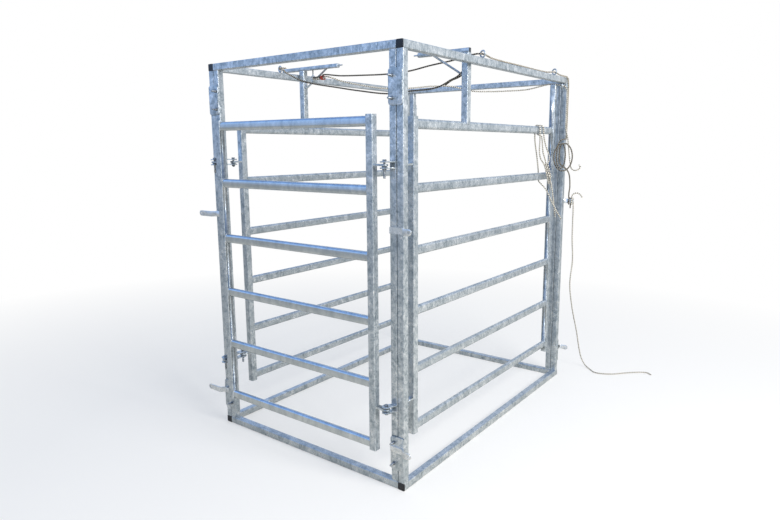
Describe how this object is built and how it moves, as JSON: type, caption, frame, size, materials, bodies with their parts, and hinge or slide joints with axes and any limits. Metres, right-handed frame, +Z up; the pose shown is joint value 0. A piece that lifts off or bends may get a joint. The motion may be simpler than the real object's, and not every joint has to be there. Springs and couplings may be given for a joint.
{
  "type": "cattle drafting gate",
  "caption": "Galvanised tube cage with a latched front gate and rope-worked side gates for sorting cattle.",
  "frame": {"origin": "middle of the front sill's underside, on the ground and in the front frame's mid plane", "axes": "+Z up, +Y from the front gate towards the rear doorway, +X towards the side gate that carries the rope bundle"},
  "size_m": [2.1213, 2.4897, 2.2524],
  "materials": {
    "galvanised_tube": "hot-dip galvanised, dull, lightly spangled",
    "zinc_steel": "zinc plated and dulled",
    "black_plastic": "moulded, matt",
    "black_rope": "braided, matt",
    "flecked_rope": "braided with flecks, matt"
  },
  "bodies": {
    "cage": {"right_top_rail": "galvanised_tube", "right_bottom_rail": "galvanised_tube", "left_top_rail": "galvanised_tube", "left_bottom_rail": "galvanised_tube", "right_front_post": "galvanised_tube", "right_rear_post": "galvanised_tube", "left_front_post": "galvanised_tube", "left_rear_post": "galvanised_tube", "front_header": "galvanised_tube", "front_sill": "galvanised_tube", "rear_header": "galvanised_tube", "rear_sill": "galvanised_tube", "front_right_jamb": "galvanised_tube", "front_left_jamb": "galvanised_tube", "rear_right_jamb": "galvanised_tube", "rear_left_jamb": "galvanised_tube", "right_top_front_plug": "black_plastic", "right_top_rear_plug": "black_plastic", "right_bottom_front_plug": "black_plastic", "right_bottom_rear_plug": "black_plastic", "left_top_front_plug": "black_plastic", "left_top_rear_plug": "black_plastic", "left_bottom_front_plug": "black_plastic", "left_bottom_rear_plug": "black_plastic", "front_right_bolt_1": "zinc_steel", "front_right_bolt_2": "zinc_steel", "front_right_bolt_3": "zinc_steel", "front_right_bolt_4": "zinc_steel", "front_left_bolt_1": "zinc_steel", "front_left_bolt_2": "zinc_steel", "front_left_bolt_3": "zinc_steel", "front_left_bolt_4": "zinc_steel", "rear_right_bolt_1": "zinc_steel", "rear_right_bolt_2": "zinc_steel", "rear_right_bolt_3": "zinc_steel", "rear_right_bolt_4": "zinc_steel", "rear_left_bolt_1": "zinc_steel", "rear_left_bolt_2": "zinc_steel", "rear_left_bolt_3": "zinc_steel", "rear_left_bolt_4": "zinc_steel", "front_hinge_bolt_upper": "zinc_steel", "front_hinge_bolt_lower": "zinc_steel", "right_hinge_bolt_upper": "zinc_steel", "right_hinge_bolt_lower": "zinc_steel", "left_hinge_bolt_upper": "zinc_steel", "left_hinge_bolt_lower": "zinc_steel", "rope_left_pull": "black_rope", "rope_left_return": "flecked_rope", "rope_right_pull": "black_rope", "rope_tail": "black_rope", "rear_hank": "black_rope"},
    "front_gate": {"front_gate": "galvanised_tube"},
    "left_gate": {"left_gate": "galvanised_tube", "left_pull_arm": "galvanised_tube"},
    "right_gate": {"right_gate": "galvanised_tube", "right_pull_arm": "galvanised_tube", "gate_hank": "flecked_rope"},
    "latch_pin_upper": {"latch_pin_upper": "zinc_steel"},
    "latch_pin_lower": {"latch_pin_lower": "zinc_steel"}
  },
  "joints": [
    {"name": "front_gate_hinge", "type": "hinge", "parent": "cage", "child": "front_gate", "pos_m": [0.618, -0.058, 1], "axis": [0, 0, 1], "range_deg": [0, 150]},
    {"name": "left_gate_hinge", "type": "hinge", "parent": "cage", "child": "left_gate", "pos_m": [-0.636, 0.0752, 1], "axis": [0, 0, 1], "range_deg": [-42, 0], "deforming": ["rope_left_pull", "rope_left_return"]},
    {"name": "right_gate_hinge", "type": "hinge", "parent": "cage", "child": "right_gate", "pos_m": [0.636, 0.0752, 1], "axis": [0, 0, 1], "range_deg": [0, 42], "deforming": ["rope_right_pull"]},
    {"name": "latch_pin_upper_lift", "type": "slide", "parent": "cage", "child": "latch_pin_upper", "axis": [0, 0, 1], "range_m": [0, 0.07]},
    {"name": "latch_pin_lower_lift", "type": "slide", "parent": "cage", "child": "latch_pin_lower", "axis": [0, 0, 1], "range_m": [0, 0.07]}
  ]
}
